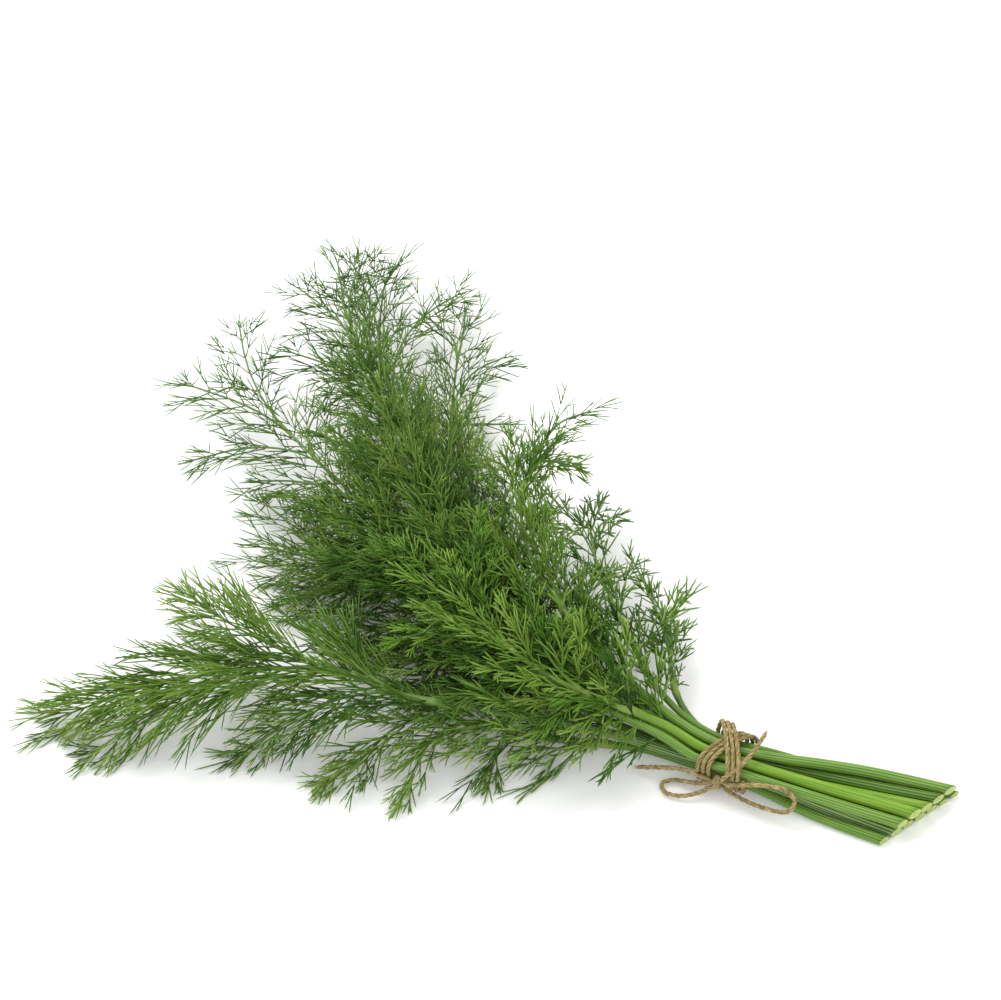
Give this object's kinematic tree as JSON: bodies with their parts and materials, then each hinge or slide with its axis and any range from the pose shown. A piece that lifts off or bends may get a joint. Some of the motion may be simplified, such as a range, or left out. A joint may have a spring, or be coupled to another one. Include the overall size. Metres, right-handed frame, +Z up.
{
  "type": "dill bunch",
  "caption": "Bunch of cut dill lying on its side, with feathery fronds spreading from a sheaf of stems tied with a jute twine bow.",
  "frame": {"origin": "under the middle of the bunch's box, on the surface that it lies on", "axes": "+X along the tied stems towards their cut ends, +Z up, +Y across the bunch, away from the bow"},
  "size_m": [0.3119, 0.2457, 0.0497],
  "materials": {
    "dill_green": "soft satin, ribbed and faintly waxy stems, fine matt leaves",
    "dill_bright": "soft satin, bright yellow-green stems and leaves",
    "jute": "dry, hairy, plied jute"
  },
  "bodies": {
    "root": {"dill_stem_01": "dill_green", "dill_stem_02": "dill_green", "dill_stem_03": "dill_green", "dill_stem_04": "dill_green", "dill_stem_05": "dill_green", "dill_stem_06": "dill_green", "dill_stem_07": "dill_green", "dill_stem_08": "dill_bright", "dill_stem_09": "dill_green", "dill_stem_10": "dill_green", "dill_stem_11": "dill_bright", "dill_stem_12": "dill_green", "twine": "jute"}
  },
  "joints": []
}
